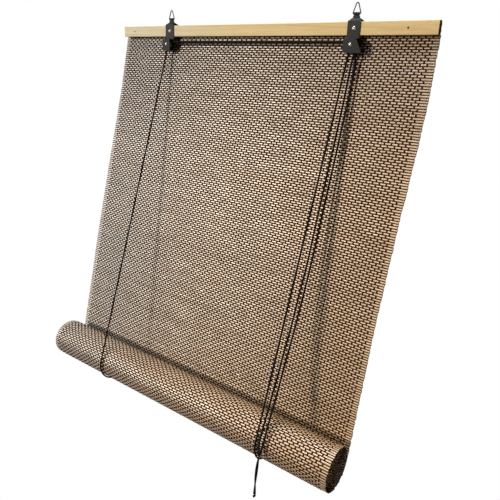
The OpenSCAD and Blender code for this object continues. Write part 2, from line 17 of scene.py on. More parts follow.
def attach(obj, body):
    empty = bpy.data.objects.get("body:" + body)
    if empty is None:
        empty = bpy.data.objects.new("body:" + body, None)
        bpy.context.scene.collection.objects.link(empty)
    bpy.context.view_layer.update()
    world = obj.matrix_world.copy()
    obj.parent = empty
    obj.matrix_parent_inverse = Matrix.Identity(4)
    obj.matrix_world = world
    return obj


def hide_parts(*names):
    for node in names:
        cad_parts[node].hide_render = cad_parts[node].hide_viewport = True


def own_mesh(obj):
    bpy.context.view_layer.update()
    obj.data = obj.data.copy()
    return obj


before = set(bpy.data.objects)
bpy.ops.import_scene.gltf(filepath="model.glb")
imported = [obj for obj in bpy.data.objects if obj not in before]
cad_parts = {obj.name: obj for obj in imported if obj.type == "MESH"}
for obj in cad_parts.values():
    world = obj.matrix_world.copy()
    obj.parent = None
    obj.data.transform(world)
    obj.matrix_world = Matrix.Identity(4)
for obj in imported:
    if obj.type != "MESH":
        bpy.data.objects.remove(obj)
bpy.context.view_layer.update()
LOG = logging.getLogger("blind")

Colour = tuple[float, float, float]
Points = np.ndarray
Piece = bpy.types.Object
Mesh = bpy.types.Mesh
Tree = bpy.types.NodeTree
Node = bpy.types.Node
Socket = bpy.types.NodeSocket

FULL_TURN = 2 * math.pi
MILLIMETRE = 0.001
CAP_BULGE = 0.35


class Body(Enum):
    """The bodies of the blind that a piece can ride on."""

    HEADRAIL = "headrail"
    SLING = "cord_sling"
    ROLL = "rolled_mat"


class Side(Enum):
    """The two ends of the blind, with the sign of their X."""

    LEFT = -1
    RIGHT = 1

    @property
    def word(self) -> str:
        """The side's name in the names of nodes."""
        return self.name.lower()


def from_srgb(red: int, green: int, blue: int) -> Colour:
    """A screen colour, 0 to 255, as linear light, by the standard's own curve.

    Args:
        red: Screen red.
        green: Screen green.
        blue: Screen blue.

    Returns:
        The three linear values.
    """
    def one(value: int) -> float:
        """One channel."""
        share = value / 255
        return share / 12.92 if share <= 0.04045 else ((share + 0.055) / 1.055) ** 2.4

    return one(red), one(green), one(blue)


def placed(name: str, data: bpy.types.ID) -> Piece:
    """Puts a mesh, a camera or a lamp into the scene.

    Args:
        name: The new object's name.
        data: What it shows.

    Returns:
        The object.
    """
    made = bpy.data.objects.new(name, data)
    bpy.context.scene.collection.objects.link(made)
    return made


class Graph:
    """A node tree with short calls for its nodes, links and group sockets."""

    def __init__(self, tree: Tree) -> None:
        """Takes over an empty tree.

        Args:
            tree: The tree to fill.
        """
        self.tree = tree
        self.shader: Node | None = None
        tree.nodes.clear()

    def ends(self, inputs: dict, outputs: dict) -> tuple:
        """Gives a group its sockets.

        Args:
            inputs: Input name to its short type, such as Float, and its default or None.
            outputs: Output name to its short type.

        Returns:
            The sockets by which values come in, and those by which they leave.
        """
        for name, (kind, value) in inputs.items():
            made = self.tree.interface.new_socket(name=name, in_out="INPUT", socket_type="NodeSocket" + kind)
            if value is not None:
                made.default_value = value
        for name, kind in outputs.items():
            self.tree.interface.new_socket(name=name, in_out="OUTPUT", socket_type="NodeSocket" + kind)
        return self.add("NodeGroupInput").outputs, self.add("NodeGroupOutput").inputs

    def add(self, kind: str, links: dict | None = None, **settings: object) -> Node:
        """Adds one node.

        Args:
            kind: The node's type.
            links: Input name or number to the value or the output socket that it takes.
            settings: The node's own properties.

        Returns:
            The node.
        """
        node = self.tree.nodes.new(kind)
        for key, value in settings.items():
            setattr(node, key, value)
        for key, value in (links or {}).items():
            if isinstance(value, Socket):
                self.link(value, node.inputs[key])
            else:
                node.inputs[key].default_value = value
        return node

    def link(self, source: Socket, target: Socket) -> None:
        """Links an output to an input."""
        self.tree.links.new(source, target)

    def math(self, operation: str, *values: object) -> Socket:
        """The result of a Math node, from its inputs in order."""
        return self.add("ShaderNodeMath", dict(enumerate(values)), operation=operation).outputs[0]

    def mix(self, share: object, first: object, second: object, way: str = "MIX") -> Socket:
        """Two colours mixed by the second's share; each is an output or linear values."""
        first, second = (c if isinstance(c, Socket) else (*c, 1.0) for c in (first, second))
        return self.add("ShaderNodeMix", {0: share, 6: first, 7: second}, data_type="RGBA", blend_type=way).outputs[2]

    def spread(self, value: object, low: float, high: float, to_low: float = 0.0, to_high: float = 1.0,
               way: str = "LINEAR") -> Socket:
        """A value mapped from low and high to to_low and to_high, and held at its ends."""
        links = dict(enumerate((value, low, high, to_low, to_high)))
        return self.add("ShaderNodeMapRange", links, interpolation_type=way).outputs[0]

    def noise(self, place: Socket, size: object, detail: float) -> Socket:
        """A noise's value at a place, by its scale and detail."""
        links = {"Vector": place, "Scale": size, "Detail": detail}
        return self.add("ShaderNodeTexNoise", links).outputs["Fac"]

    def vector(self, *parts: object) -> Socket:
        """A vector from its first parts, with zero for the rest."""
        return self.add("ShaderNodeCombineXYZ", dict(enumerate(parts))).outputs[0]

    def stretch(self, place: Socket, by: object) -> Socket:
        """A vector multiplied part by part by another."""
        return self.add("ShaderNodeVectorMath", {0: place, 1: by}, operation="MULTIPLY").outputs[0]

    def parts(self, vector: Socket) -> bpy.types.NodeOutputs:
        """The three parts of a vector."""
        return self.add("ShaderNodeSeparateXYZ", {0: vector}).outputs

    def coords(self) -> bpy.types.NodeOutputs:
        """The texture coordinates, by their names."""
        return self.add("ShaderNodeTexCoord").outputs

    def group(self, tree: Tree, **values: object) -> bpy.types.NodeOutputs:
        """The outputs of a shader group with these inputs, by their names."""
        return self.add("ShaderNodeGroup", values, node_tree=tree).outputs

    def named(self, name: str, kind: str = "FLOAT") -> Socket:
        """A named attribute's value in a geometry tree, by its data type."""
        return self.add("GeometryNodeInputNamedAttribute", {"Name": name}, data_type=kind).outputs[0]

    def random(self, kind: str, low: object, high: object, seed: object) -> Socket:
        """A random value in a geometry tree, of the type FLOAT or FLOAT_VECTOR."""
        first, output = (0, 0) if kind == "FLOAT_VECTOR" else (2, 1)
        links = {first: low, first + 1: high, "Seed": seed}
        return self.add("FunctionNodeRandomValue", links, data_type=kind).outputs[output]

    def painted(self, laid: Socket, finish: Socket) -> Socket:
        """Instances as real geometry in one material."""
        real = self.add("GeometryNodeRealizeInstances", {"Geometry": laid})
        return self.add("GeometryNodeSetMaterial", {"Geometry": real.outputs[0], "Material": finish}).outputs[0]


class Effects:
    """Shader groups that more than one finish uses."""

    @staticmethod
    def fibre() -> Tree:
        """Long fine streaks along X, for bamboo, pine and the rod.

        Returns:
            The group, with Streaks, Drift and Specks as masks from 0 to 1.
        """
        if "long_fibre" in bpy.data.node_groups:
            return bpy.data.node_groups["long_fibre"]
        graph = Graph(bpy.data.node_groups.new("long_fibre", "ShaderNodeTree"))
        given, out = graph.ends(
            {"Vector": ("Vector", None), "Along": ("Float", 30.0), "Across": ("Float", 2500.0)},
            {"Streaks": "Float", "Drift": "Float", "Specks": "Float"},
        )
        long = graph.stretch(given["Vector"], graph.vector(given["Along"], given["Across"], given["Across"]))
        slow = graph.add("ShaderNodeVectorMath", {0: long, 3: 0.12}, operation="SCALE").outputs[0]
        for name, place, size, detail, low, high in (
            ("Streaks", long, 1.0, 3.0, 0.32, 0.68),
            ("Drift", slow, 1.0, 2.0, 0.3, 0.7),
            ("Specks", given["Vector"], 700.0, 2.0, 0.62, 0.78),
        ):
            graph.link(graph.spread(graph.noise(place, size, detail), low, high), out[name])
        return graph.tree

    @staticmethod
    def rubbed() -> Tree:
        """Uneven handling marks and fine grit, for metal, plastic, thread and cord.

        Returns:
            The group, with Marks and Grit as masks from 0 to 1.
        """
        if "rubbed_face" in bpy.data.node_groups:
            return bpy.data.node_groups["rubbed_face"]
        graph = Graph(bpy.data.node_groups.new("rubbed_face", "ShaderNodeTree"))
        given, out = graph.ends(
            {"Vector": ("Vector", None), "Size": ("Float", 90.0)}, {"Marks": "Float", "Grit": "Float"}
        )
        fine = graph.math("MULTIPLY", given["Size"], 22.0)
        for name, size, detail, low in (("Marks", given["Size"], 5.0, 0.35), ("Grit", fine, 2.0, 0.3)):
            graph.link(graph.spread(graph.noise(given["Vector"], size, detail), low, 0.7), out[name])
        return graph.tree


class Finish:
    """What every finish shares: a material with one Principled shader, made once."""

    name: str
    gloss: float
    relief: float
    smooth: float
    rough: float

    def material(self) -> bpy.types.Material:
        """The finish's material, made the first time it is asked for."""
        found = bpy.data.materials.get(self.name)
        if found:
            return found
        made = bpy.data.materials.new(self.name)
        made.use_nodes = True
        graph = Graph(made.node_tree)
        out = graph.add("ShaderNodeOutputMaterial")
        graph.shader = graph.add("ShaderNodeBsdfPrincipled")
        graph.link(graph.shader.outputs[0], out.inputs[0])
        graph.shader.inputs["Specular IOR Level"].default_value = self.gloss
        self.paint(graph)
        return made

    def paint(self, graph: Graph) -> None:
        """Fills the material; each finish has its own way.

        Args:
            graph: The material's nodes.
        """
        raise NotImplementedError

    def roughness(self, graph: Graph, mask: Socket) -> Socket:
        """The roughness, from the smooth end to the rough end by a mask."""
        return graph.spread(mask, 0.0, 1.0, self.smooth, self.rough)

    def feed(self, graph: Graph, colour: Socket, roughness: Socket, height: Socket,
             under: Socket | None = None) -> None:
        """Feeds the shader its colour, roughness and relief.

        Args:
            graph: The material's nodes.
            colour: The base colour's output.
            roughness: The roughness's output.
            height: The relief's height mask.
            under: A normal that the relief is laid over.
        """
        links = {"Height": height, "Distance": self.relief, "Strength": 1.0}
        if under is not None:
            links["Normal"] = under
        bump = graph.add("ShaderNodeBump", links)
        for source, name in ((colour, "Base Color"), (roughness, "Roughness"), (bump.outputs[0], "Normal")):
            graph.link(source, graph.shader.inputs[name])


@dataclass(frozen=True)
class BambooFinish(Finish):
    """Split bamboo: pale tan with lengthwise fibres and darker knuckles, its slat edges darker partly as real split
    sides and partly as painted shade between slats, with painted cool light to the left, painted warm light to the
    right, a painted shadow of the headrail at the top and random bands of painted shade and light from slight bends.
    """

    name: str = "split_bamboo"
    pale: Colour = from_srgb(210, 181, 146)
    deep: Colour = from_srgb(188, 150, 112)
    # The edge colour darkens the knuckles, and the flanks partly as painted shade between slats.
    edge: Colour = from_srgb(98, 61, 27)
    streak_share: float = 0.45
    knuckle_gap: float = 0.31
    knuckle_shift: float = 37.7
    knuckle_half: float = 0.007
    knuckle_dark: float = 0.5
    flank_from: float = 0.42
    flank_to: float = 0.56
    flank_dark: float = 0.7
    # Painted cool light towards the left end and painted warm light towards the right end.
    greyed: Colour = (0.86, 1.0, 1.25)
    warmed: Colour = (1.0, 0.935, 0.83)
    # Painted shadow of the headrail over the top rows of the mat, by height.
    dimmed: Colour = (0.6, 0.6, 0.61)
    middle_x: float = 0.02
    end_x: float = 0.27
    lit_z: float = -0.3
    dim_z: float = -0.06
    # Random bands of painted shade and light, standing for slight bends in the mat.
    band_stretch: Colour = (0.35, 1.0, 1.0)
    band_size: float = 42.0
    band_dark: float = 0.87
    band_pale: float = 1.09
    gloss: float = 0.9
    relief: float = 0.00006
    smooth: float = 0.27
    rough: float = 0.36

    def paint(self, graph: Graph) -> None:
        """Fills the material.

        Args:
            graph: The material's nodes.
        """
        place = graph.coords()["Object"]
        x, _, z = graph.parts(place)
        tint = graph.add("ShaderNodeAttribute", attribute_name="tint").outputs["Fac"]
        across = graph.add("ShaderNodeAttribute", attribute_name="across").outputs["Fac"]
        fibre = graph.group(Effects.fibre(), Vector=place, Along=26.0, Across=2600.0)
        tinted = graph.math("MULTIPLY", tint, 1 - self.streak_share)
        mixed = graph.math("MULTIPLY_ADD", fibre["Streaks"], self.streak_share, tinted)
        colour = graph.mix(mixed, self.pale, self.deep)
        shifted = graph.math("MULTIPLY_ADD", tint, self.knuckle_shift, graph.math("DIVIDE", x, self.knuckle_gap))
        off = graph.math("ABSOLUTE", graph.math("SUBTRACT", graph.math("FRACT", shifted), 0.5))
        knuckle = graph.spread(off, 0.0, self.knuckle_half, self.knuckle_dark, 0.0, way="SMOOTHSTEP")
        colour = graph.mix(knuckle, colour, self.edge)
        # Flanks go towards the edge colour: partly the real darker split sides, partly painted shade between slats.
        away = graph.math("ABSOLUTE", across)
        flank = graph.spread(away, self.flank_from, self.flank_to, 0.0, self.flank_dark, way="SMOOTHSTEP")
        colour = graph.mix(flank, colour, self.edge)
        # Painted light and shade: cool light to the left, warm light to the right, the headrail's shadow over the top
        # rows.
        for value, start, end, tone in (
            (x, self.middle_x, -self.end_x, self.greyed), (x, self.middle_x, self.end_x, self.warmed),
            (z, self.lit_z, self.dim_z, self.dimmed),
        ):
            colour = graph.mix(graph.spread(value, start, end, way="SMOOTHSTEP"), colour, tone, "MULTIPLY")
        # Random bands of painted shade and light, standing for slight bends in the mat.
        bands = graph.noise(graph.stretch(place, self.band_stretch), self.band_size, 3.0)
        colour = graph.mix(1.0, colour, graph.spread(bands, 0.3, 0.7, self.band_dark, self.band_pale), "MULTIPLY")
        rough = self.roughness(graph, fibre["Drift"])
        self.feed(graph, colour, rough, fibre["Streaks"])


@dataclass(frozen=True)
class SplitFinish(Finish):
    """The split sides and cut ends of a slat: dull, dark and fibrous, darkened partly as real split bamboo and partly
    as painted shade between the slats and on the roll's shaded ends.
    """

    name: str = "split_edge"
    dark: Colour = from_srgb(56, 31, 10)
    pale: Colour = from_srgb(106, 66, 28)
    speck_share: float = 0.4
    gloss: float = 0.03
    relief: float = 0.00008
    smooth: float = 0.85
    rough: float = 1.0

    def paint(self, graph: Graph) -> None:
        """Fills the material.

        Args:
            graph: The material's nodes.
        """
        fibre = graph.group(Effects.fibre(), Vector=graph.coords()["Object"], Along=40.0, Across=3200.0)
        streaks = graph.math("MULTIPLY", fibre["Streaks"], 1 - self.speck_share)
        share = graph.math("MULTIPLY_ADD", fibre["Specks"], self.speck_share, streaks)
        # Dark partly as real split bamboo, partly as painted shade.
        colour = graph.mix(share, self.dark, self.pale)
        rough = self.roughness(graph, fibre["Streaks"])
        self.feed(graph, colour, rough, fibre["Streaks"])


@dataclass(frozen=True)
class ThreadFinish(Finish):
    """Dark brown warp: two twisted yarns side by side."""

    name: str = "brown_warp"
    deep: Colour = from_srgb(42, 22, 8)
    # The worn colour serves both the real rub marks and the painted highlight on yarn crests.
    worn: Colour = from_srgb(86, 51, 22)
    yarn: float = 0.00115
    lean_x: float = 0.9
    lean_down: float = 0.8
    twist_share: float = 0.25
    mark_share: float = 0.3
    gloss: float = 0.03
    relief: float = 0.00012
    smooth: float = 0.72
    rough: float = 0.92

    def paint(self, graph: Graph) -> None:
        """Fills the material.

        Args:
            graph: The material's nodes.
        """
        place = graph.coords()["Object"]
        x, y, z = graph.parts(place)
        turn = FULL_TURN / self.yarn
        yarns = graph.math("COSINE", graph.math("MULTIPLY", x, turn))
        down = graph.math("MULTIPLY", graph.math("ADD", y, z), self.lean_down * turn)
        twist = graph.math("SINE", graph.math("MULTIPLY_ADD", x, self.lean_x * turn, down))
        height = graph.math("MULTIPLY_ADD", twist, self.twist_share, yarns)
        rub = graph.group(Effects.rubbed(), Vector=place, Size=60.0)
        # Yarn crests painted paler: a painted highlight.
        lit = graph.spread(height, -0.6, 1.2, 0.0, 0.55)
        share = graph.math("MULTIPLY_ADD", rub["Marks"], self.mark_share, lit)
        colour = graph.mix(share, self.deep, self.worn)
        rough = self.roughness(graph, rub["Grit"])
        self.feed(graph, colour, rough, height)


@dataclass(frozen=True)
class WoodFinish(Finish):
    """Planed wood with its grain along X, end grain darker partly as real end grain and partly as painted shade, and
    painted cool light at the left end.
    """

    name: str
    pale: Colour
    deep: Colour
    end: Colour
    along: float = 9.0
    across: float = 420.0
    greyed: Colour = (0.88, 0.98, 1.22)
    grey_from: float = 0.05
    grey_to: float = -0.25
    edge: float = 0.0006
    gloss: float = 0.15
    relief: float = 0.00008
    smooth: float = 0.48
    rough: float = 0.68

    def paint(self, graph: Graph) -> None:
        """Fills the material.

        Args:
            graph: The material's nodes.
        """
        texture = graph.coords()
        place = texture["Object"]
        fibre = graph.group(Effects.fibre(), Vector=place, Along=self.along, Across=self.across)
        fine = graph.group(Effects.fibre(), Vector=place, Along=self.along * 5, Across=self.across * 7)
        rings = graph.math("PINGPONG", graph.math("MULTIPLY", fibre["Drift"], 5.0), 1.0)
        late = graph.spread(rings, 0.55, 1.0, 0.0, 0.55, way="SMOOTHSTEP")
        grain = graph.math("MULTIPLY_ADD", fine["Streaks"], 0.28, graph.math("MULTIPLY", late, 0.6))
        grain = graph.math("MULTIPLY_ADD", fibre["Streaks"], 0.25, grain)
        colour = graph.mix(grain, self.pale, self.deep)
        # Painted cool light towards the left end.
        grey = graph.spread(graph.parts(place)[0], self.grey_from, self.grey_to, way="SMOOTHSTEP")
        colour = graph.mix(grey, colour, self.greyed, "MULTIPLY")
        # End faces go darker: partly real end grain, partly painted shade.
        facing = graph.parts(texture["Normal"])[0]
        cut = graph.spread(graph.math("ABSOLUTE", facing), 0.7, 0.9)
        colour = graph.mix(cut, colour, graph.mix(fine["Specks"], self.end, self.deep))
        rough = graph.math("MAXIMUM", self.roughness(graph, fibre["Streaks"]), cut)
        soft = graph.add("ShaderNodeBevel", {"Radius": self.edge}, samples=4).outputs[0]
        self.feed(graph, colour, rough, fine["Streaks"], soft)


@dataclass(frozen=True)
class MetalFinish(Finish):
    """Painted, plated or bare metal, or smooth plastic, with rubbed marks and softened edges."""

    name: str
    base: Colour
    worn: Colour
    metallic: float
    smooth: float
    rough: float
    gloss: float = 0.5
    edge: float = 0.0003
    relief: float = 0.00002

    def paint(self, graph: Graph) -> None:
        """Fills the material.

        Args:
            graph: The material's nodes.
        """
        rub = graph.group(Effects.rubbed(), Vector=graph.coords()["Object"], Size=160.0)
        colour = graph.mix(graph.math("MULTIPLY", rub["Marks"], 0.6), self.base, self.worn)
        rough = self.roughness(graph, rub["Marks"])
        graph.shader.inputs["Metallic"].default_value = self.metallic
        soft = graph.add("ShaderNodeBevel", {"Radius": self.edge}, samples=4).outputs[0]
        self.feed(graph, colour, rough, rub["Grit"], soft)


@dataclass(frozen=True)
class CordFinish(Finish):
    """Black braided cord: two sets of strands wound against each other, along the tube's own UV map."""

    name: str = "black_braid"
    deep: Colour = from_srgb(8, 7, 7)
    lit: Colour = from_srgb(20, 17, 16)
    strands: float = 4.0
    turns_per_diameter: float = 1.6
    mark_share: float = 0.25
    gloss: float = 0.06
    relief: float = 0.00012
    smooth: float = 0.6
    rough: float = 0.8

    def paint(self, graph: Graph) -> None:
        """Fills the material.

        Args:
            graph: The material's nodes.
        """
        texture = graph.coords()
        u, v, _ = graph.parts(texture["UV"])
        around = graph.math("MULTIPLY", v, FULL_TURN * self.strands)
        run = graph.math("MULTIPLY", u, FULL_TURN * self.turns_per_diameter)
        left, right = (graph.math("SINE", graph.math(way, run, around)) for way in ("ADD", "SUBTRACT"))
        height = graph.math("MAXIMUM", left, right)
        rub = graph.group(Effects.rubbed(), Vector=texture["Object"], Size=120.0)
        crest = graph.spread(height, -0.4, 1.0, 0.0, 0.6)
        share = graph.math("MULTIPLY_ADD", rub["Marks"], self.mark_share, crest)
        colour = graph.mix(share, self.deep, self.lit)
        rough = self.roughness(graph, rub["Grit"])
        self.feed(graph, colour, rough, height)


BAMBOO = BambooFinish()
SPLIT = SplitFinish()
WARP = ThreadFinish()
BRAID = CordFinish()
# The third colour is end grain, darkened partly as painted shade on the shaded ends.
PINE = WoodFinish("planed_pine", from_srgb(234, 201, 142), from_srgb(202, 154, 90), from_srgb(52, 36, 14))
ROD = WoodFinish("turned_rod", from_srgb(196, 160, 112), from_srgb(150, 112, 70), from_srgb(52, 39, 28))
CHARCOAL = MetalFinish("charcoal_paint", from_srgb(16, 16, 13), from_srgb(28, 28, 23), 0.0, 0.32, 0.48, gloss=0.1)
BRIGHT = MetalFinish("bright_plate", from_srgb(146, 143, 136), from_srgb(98, 95, 89), 1.0, 0.22, 0.38)
WIRE = MetalFinish("bent_wire", from_srgb(40, 40, 38), from_srgb(68, 68, 65), 0.0, 0.3, 0.45, 0.4, edge=0.0001)
WHEEL = MetalFinish("wheel_plate", from_srgb(150, 146, 138), from_srgb(104, 100, 92), 1.0, 0.3, 0.48)
CAM = MetalFinish("cam_nylon", from_srgb(30, 30, 31), from_srgb(48, 48, 49), 0.0, 0.42, 0.58)
NAIL = MetalFinish("blued_nail", from_srgb(52, 35, 13), from_srgb(84, 60, 28), 0.0, 0.7, 0.9, gloss=0.03)


class Repeats:
    """The Geometry Nodes trees that lay slats and set warps side by side."""

    slip: float = 0.0004
    least_size: tuple = (0.94, 0.99)

    @classmethod
    def slat_layer(cls) -> Tree:
        """A tree that lays one slat on every point, each a little short, lifted and tinted on its own.

        Returns:
            The tree.
        """
        if "slat_layer" in bpy.data.node_groups:
            return bpy.data.node_groups["slat_layer"]
        graph = Graph(bpy.data.node_groups.new("slat_layer", "GeometryNodeTree"))
        given, out = graph.ends(
            {"Places": ("Geometry", None), "Slat": ("Object", None), "Finish": ("Material", None),
             "Sides": ("Material", None), "Shortest": ("Float", 0.992), "Lift": ("Float", 0.0001),
             "Seed": ("Int", 11)},
            {"Slats": "Geometry"},
        )
        slat = graph.add("GeometryNodeObjectInfo", {"Object": given["Slat"]}, transform_space="ORIGINAL")
        lift, seed = given["Lift"], given["Seed"]
        least = graph.vector(given["Shortest"], *cls.least_size)
        size = graph.random("FLOAT_VECTOR", least, (1.0, 1.0, 1.0), seed)
        down = graph.math("MULTIPLY", lift, -1.0)
        low, high = graph.vector(-cls.slip, down, down), graph.vector(cls.slip, lift, lift)
        shift = graph.random("FLOAT_VECTOR", low, high, graph.math("ADD", seed, 7.0))
        moved = graph.add("GeometryNodeSetPosition", {"Geometry": given["Places"], "Offset": shift})
        laid = graph.add(
            "GeometryNodeInstanceOnPoints",
            {"Points": moved.outputs[0], "Instance": slat.outputs["Geometry"],
             "Rotation": graph.vector(graph.named("turn")), "Scale": size},
        )
        tint = graph.random("FLOAT", 0.0, 1.0, graph.math("ADD", seed, 19.0))
        stored = graph.add(
            "GeometryNodeStoreNamedAttribute", {"Geometry": laid.outputs[0], "Name": "tint", "Value": tint},
            data_type="FLOAT", domain="INSTANCE",
        )
        painted = graph.painted(stored.outputs[0], given["Finish"])
        split = graph.named("split", "BOOLEAN")
        sides = graph.add(
            "GeometryNodeSetMaterial",
            {"Geometry": painted, "Selection": split, "Material": given["Sides"]},
        )
        graph.link(sides.outputs[0], out[0])
        return graph.tree

    @staticmethod
    def warp_row() -> Tree:
        """A tree that repeats one warp along X.

        Returns:
            The tree.
        """
        if "warp_row" in bpy.data.node_groups:
            return bpy.data.node_groups["warp_row"]
        graph = Graph(bpy.data.node_groups.new("warp_row", "GeometryNodeTree"))
        given, out = graph.ends(
            {"Warp": ("Geometry", None), "Finish": ("Material", None), "Count": ("Int", 2),
             "Spacing": ("Float", 0.01), "First": ("Float", 0.0), "Sway": ("Float", 0.0002), "Seed": ("Int", 5)},
            {"Warps": "Geometry"},
        )
        line = graph.add(
            "GeometryNodeMeshLine",
            {"Count": given["Count"], "Start Location": graph.vector(given["First"]),
             "Offset": graph.vector(given["Spacing"])},
        )
        least = graph.math("MULTIPLY", given["Sway"], -1.0)
        aside = graph.vector(graph.random("FLOAT", least, given["Sway"], given["Seed"]))
        moved = graph.add("GeometryNodeSetPosition", {"Geometry": line.outputs[0], "Offset": aside})
        laid = graph.add("GeometryNodeInstanceOnPoints", {"Points": moved.outputs[0], "Instance": given["Warp"]})
        graph.link(graph.painted(laid.outputs[0], given["Finish"]), out[0])
        return graph.tree

    @staticmethod
    def run(name: str, mesh: Mesh, tree: Tree, values: dict) -> Piece:
        """Runs a tree on a mesh and keeps the result as a plain mesh.

        Args:
            name: The new piece's name.
            mesh: The mesh that the tree starts from.
            tree: The tree.
            values: The value of each named input.

        Returns:
            The new piece.
        """
        host = placed(name + "_host", mesh)
        modifier = host.modifiers.new("nodes", "NODES")
        modifier.node_group = tree
        for item in tree.interface.items_tree:
            if item.in_out == "INPUT" and item.name in values:
                modifier[item.identifier] = values[item.name]
        host.update_tag()
        bpy.context.view_layer.update()
        graph = bpy.context.evaluated_depsgraph_get()
        seen = host.evaluated_get(graph)
        made = bpy.data.meshes.new_from_object(seen, preserve_all_data_layers=True, depsgraph=graph)
        made.name = name
        host.modifiers.clear()
        bpy.data.objects.remove(host)
        return placed(name, made)


def plain_mesh(name: str, points: Sequence, faces: Sequence) -> Mesh:
    """A mesh from points and faces.

    Args:
        name: Its name.
        points: Its corners.
        faces: Its faces, as corner numbers.

    Returns:
        The mesh.
    """
    mesh = bpy.data.meshes.new(name)
    mesh.from_pydata([tuple(map(float, p)) for p in points], [], [tuple(map(int, f)) for f in faces])
    mesh.update()
    return mesh


def shown(mesh: Mesh, finish: Finish) -> Piece:
    """A piece in the scene made of a mesh and a finish.

    Args:
        mesh: The mesh, in its place.
        finish: The finish.

    Returns:
        The piece.
    """
    mesh.materials.clear()
    mesh.materials.append(finish.material())
    return placed(mesh.name, mesh)


def flip_outwards(mesh: Mesh) -> None:
    """Turns a closed mesh's faces outwards if its volume is negative."""
    total = 0.0
    mesh.calc_loop_triangles()
    for tri in mesh.loop_triangles:
        a, b, c = (mesh.vertices[i].co for i in tri.vertices)
        total += a.dot(b.cross(c))
    if total < 0:
        mesh.flip_normals()


def round_tube(name: str, path: Points, radius: float, sides: int = 12) -> Mesh:
    """A closed round tube along a path, with a UV map in diameters along and turns around.

    Args:
        name: The mesh's name.
        path: The centreline.
        radius: The tube's radius.
        sides: How many flats it has around.

    Returns:
        The mesh.
    """
    path = np.asarray(path, float)
    ways = np.gradient(path, axis=0)
    ways /= np.linalg.norm(ways, axis=1)[:, None]
    normal = np.cross(ways[0], (1.0, 0.0, 0.0) if abs(ways[0][0]) < 0.8 else (0.0, 1.0, 0.0))
    normal /= np.linalg.norm(normal)
    angles = np.arange(sides) * FULL_TURN / sides
    points: list = []
    for place, way in zip(path, ways):
        normal = normal - way * (normal @ way)
        normal /= np.linalg.norm(normal)
        side = np.cross(way, normal)
        ring = np.outer(np.cos(angles), normal) + np.outer(np.sin(angles), side)
        points.extend(place + radius * ring)
    count = len(path)
    points.append(path[0] - ways[0] * radius * CAP_BULGE)
    points.append(path[-1] + ways[-1] * radius * CAP_BULGE)
    run = run_so_far(path) / (2 * radius)
    faces, uvs = [], []
    for i in range(count - 1):
        for k in range(sides):
            n = (k + 1) % sides
            faces.append((i * sides + k, i * sides + n, (i + 1) * sides + n, (i + 1) * sides + k))
            uvs.extend([(run[i], k / sides), (run[i], (k + 1) / sides),
                        (run[i + 1], (k + 1) / sides), (run[i + 1], k / sides)])
    last = (count - 1) * sides
    for k in range(sides):
        n = (k + 1) % sides
        faces.append((count * sides, n, k))
        uvs.extend([(run[0], (k + 0.5) / sides), (run[0], (k + 1) / sides), (run[0], k / sides)])
        faces.append((count * sides + 1, last + k, last + n))
        uvs.extend([(run[-1], (k + 0.5) / sides), (run[-1], k / sides), (run[-1], (k + 1) / sides)])
    mesh = plain_mesh(name, points, faces)
    layer = mesh.uv_layers.new(name="UVMap")
    layer.data.foreach_set("uv", np.array(uvs, np.float32).ravel())
    mesh.polygons.foreach_set("use_smooth", np.ones(len(mesh.polygons), bool))
    return mesh


def joined(name: str, meshes: Sequence[Mesh]) -> Mesh:
    """Several meshes as one, with their UV maps.

    Args:
        name: The new mesh's name.
        meshes: The meshes, which are used up.

    Returns:
        The one mesh.
    """
    whole = bmesh.new()
    for mesh in meshes:
        whole.from_mesh(mesh)
        bpy.data.meshes.remove(mesh)
    made = bpy.data.meshes.new(name)
    whole.to_mesh(made)
    whole.free()
    return made


def smooth_route(points: Sequence, steps: int = 6) -> Points:
    """A smooth line through the points of a route.

    Args:
        points: The route's points.
        steps: How many points the line has from each one to the next.

    Returns:
        The line's points.
    """
    given = np.asarray(points, float)
    line = []
    for i in range(len(given) - 1):
        a, b = given[max(i - 1, 0)], given[i]
        c, d = given[i + 1], given[min(i + 2, len(given) - 1)]
        for t in np.arange(steps) / steps:
            line.append(0.5 * (2 * b + (c - a) * t + (2 * a - 5 * b + 4 * c - d) * t**2
                               + (3 * b - a - 3 * c + d) * t**3))
    line.append(given[-1])
    return np.array(line)


def straight(start: Sequence, end: Sequence, count: int) -> Points:
    """Evenly spaced points from one end to the other."""
    return np.linspace(np.asarray(start, float), np.asarray(end, float), count)


def run_so_far(path: Points) -> Points:
    """How far along a path each of its points is, in metres."""
    return np.concatenate(([0.0], np.cumsum(np.linalg.norm(np.diff(path, axis=0), axis=1))))


def run_length(path: Points) -> float:
    """How long a path is, in metres."""
    return float(np.linalg.norm(np.diff(path, axis=0), axis=1).sum())


@dataclass(frozen=True)
class RailFrame:
    """The headrail's own frame, which leans forward in the blind's."""

    origin: tuple[float, float, float] = (0.0, 0.00859279, -0.0320687)
    tilt: float = math.radians(15)

    def place(self, x: float, y: float, z: float) -> np.ndarray:
        """A point along, backwards through and up the headrail, in the blind's frame."""
        c, s = math.cos(self.tilt), math.sin(self.tilt)
        return np.array(self.origin) + np.array((x, y * c - z * s, y * s + z * c))


